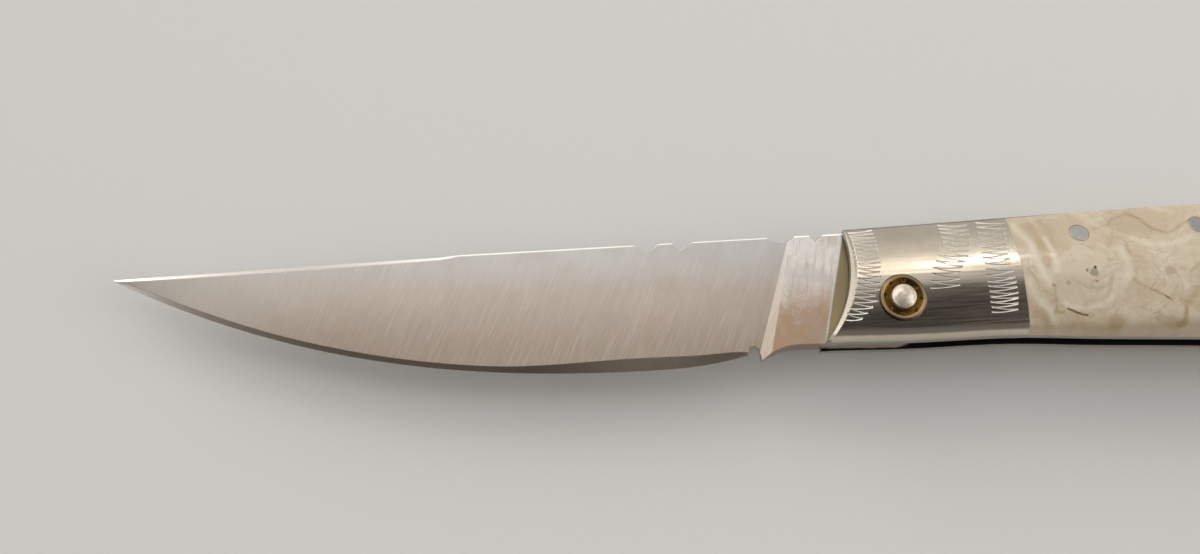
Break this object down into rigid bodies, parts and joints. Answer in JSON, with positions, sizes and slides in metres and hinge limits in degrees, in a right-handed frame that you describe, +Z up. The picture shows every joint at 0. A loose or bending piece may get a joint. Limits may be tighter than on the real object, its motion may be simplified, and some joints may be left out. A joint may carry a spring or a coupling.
{
  "type": "folding pocket knife",
  "caption": "Open friction folding knife: slim drop-edged blade on a riveted pivot, engraved metal bolsters, curved pale scales and a back spacer that stops the blade.",
  "frame": {"origin": "middle of the open knife's box in plan, on the plane that its right scale rests on", "axes": "+X from the blade's tip to the butt, +Y from the cutting edge to the back, +Z up out of the left side"},
  "size_m": [0.2246, 0.0268, 0.0135],
  "materials": {
    "blade_steel": "satin, brushed across the blade",
    "bolster_metal": "satin polish with bright engraved zig-zag bands",
    "scale_burl": "polished, pale with tan veins and small eyes",
    "rosette_brass": "aged, worn bright on the rim",
    "pivot_steel": "polished",
    "pin_steel": "ground flush and polished",
    "liner_steel": "satin",
    "spacer_steel": "satin",
    "washer_bronze": "plain",
    "dowel_metal": "plain"
  },
  "bodies": {
    "handle": {"back_spacer": "spacer_steel", "pivot_pin": "pivot_steel", "left_liner": "liner_steel", "right_liner": "liner_steel", "left_bolster": "bolster_metal", "right_bolster": "bolster_metal", "left_scale": "scale_burl", "right_scale": "scale_burl", "left_rosette": "rosette_brass", "right_rosette": "rosette_brass", "left_pivot_washer": "washer_bronze", "right_pivot_washer": "washer_bronze", "left_bolster_dowels": "dowel_metal", "right_bolster_dowels": "dowel_metal", "handle_pin_1": "pin_steel", "handle_pin_2": "pin_steel", "handle_pin_3": "pin_steel", "handle_pin_4": "pin_steel", "handle_pin_5": "pin_steel", "handle_pin_6": "pin_steel"},
    "blade": {"blade": "blade_steel"}
  },
  "joints": [
    {"name": "blade_fold", "type": "hinge", "parent": "handle", "child": "blade", "pos_m": [-0.00557, 0.00188, 0.00675], "axis": [0, 0, 1], "range_deg": [0, 178]}
  ]
}
